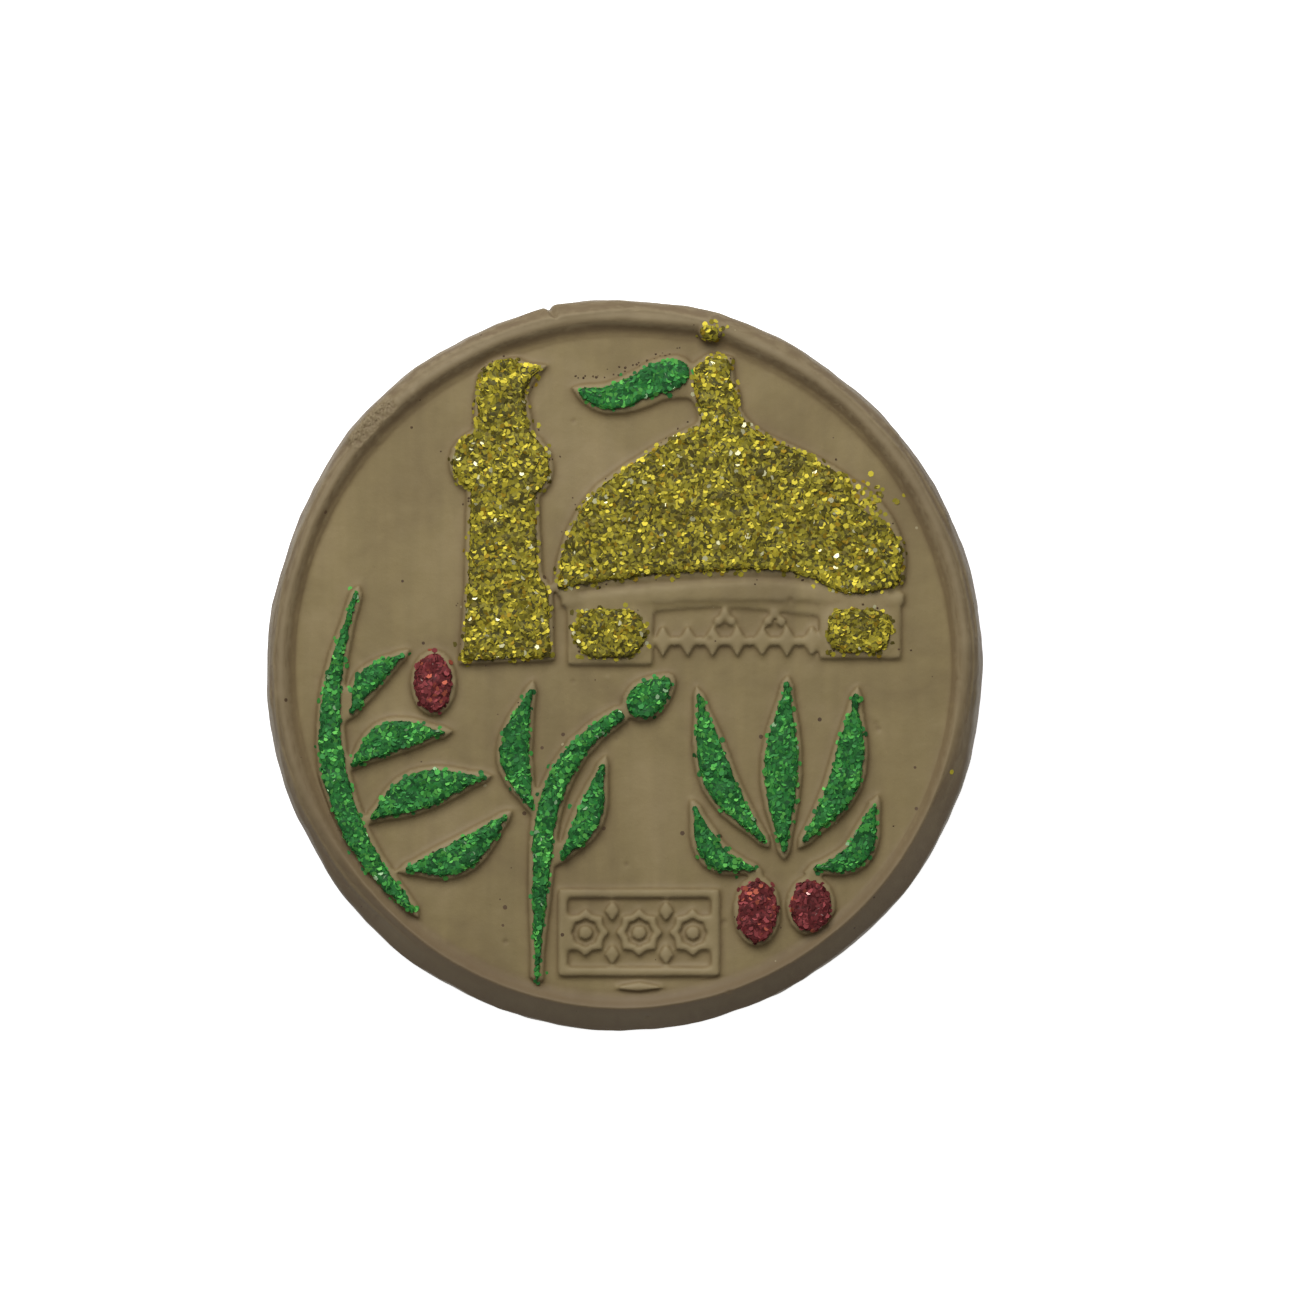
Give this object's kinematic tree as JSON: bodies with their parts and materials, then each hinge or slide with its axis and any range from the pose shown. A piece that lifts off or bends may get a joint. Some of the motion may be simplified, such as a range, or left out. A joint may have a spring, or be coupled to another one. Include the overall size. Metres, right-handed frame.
{
  "type": "clay tablet",
  "caption": "Round pressed clay tablet with a raised rim and a low relief of a dome, minaret and leaves, coated with gold, green and red glitter glue.",
  "frame": {"origin": "middle of the outline on the flat back, which is the plane the tablet lies on", "axes": "+Z out of the decorated face, across the tablet's thickness; +X to the picture's right; +Y to the picture's top, from the panel at its foot to the dome"},
  "size_m": [0.07, 0.0712, 0.0111],
  "materials": {
    "clay": "sun-dried unglazed clay, matt, with fine pores",
    "gold_glitter": "coarse gold craft glitter in clear dried glue",
    "green_glitter": "coarse green craft glitter in clear dried glue",
    "red_glitter": "coarse red craft glitter in clear dried glue"
  },
  "bodies": {
    "root": {"clay_tablet": "clay", "minaret_gold_glitter": "gold_glitter", "dome_gold_glitter": "gold_glitter", "left_window_gold_glitter": "gold_glitter", "right_window_gold_glitter": "gold_glitter", "spire_knob_gold_glitter": "gold_glitter", "pennant_green_glitter": "green_glitter", "left_frond_stem_green_glitter": "green_glitter", "left_frond_leaf_1_green_glitter": "green_glitter", "left_frond_leaf_2_green_glitter": "green_glitter", "left_frond_leaf_3_green_glitter": "green_glitter", "left_frond_leaf_4_green_glitter": "green_glitter", "middle_stem_green_glitter": "green_glitter", "middle_bud_green_glitter": "green_glitter", "middle_leaf_1_green_glitter": "green_glitter", "middle_leaf_2_green_glitter": "green_glitter", "palmette_leaf_1_green_glitter": "green_glitter", "palmette_leaf_2_green_glitter": "green_glitter", "palmette_leaf_3_green_glitter": "green_glitter", "palmette_leaf_4_green_glitter": "green_glitter", "palmette_leaf_5_green_glitter": "green_glitter", "left_berry_red_glitter": "red_glitter", "middle_berry_red_glitter": "red_glitter", "right_berry_red_glitter": "red_glitter"}
  },
  "joints": []
}
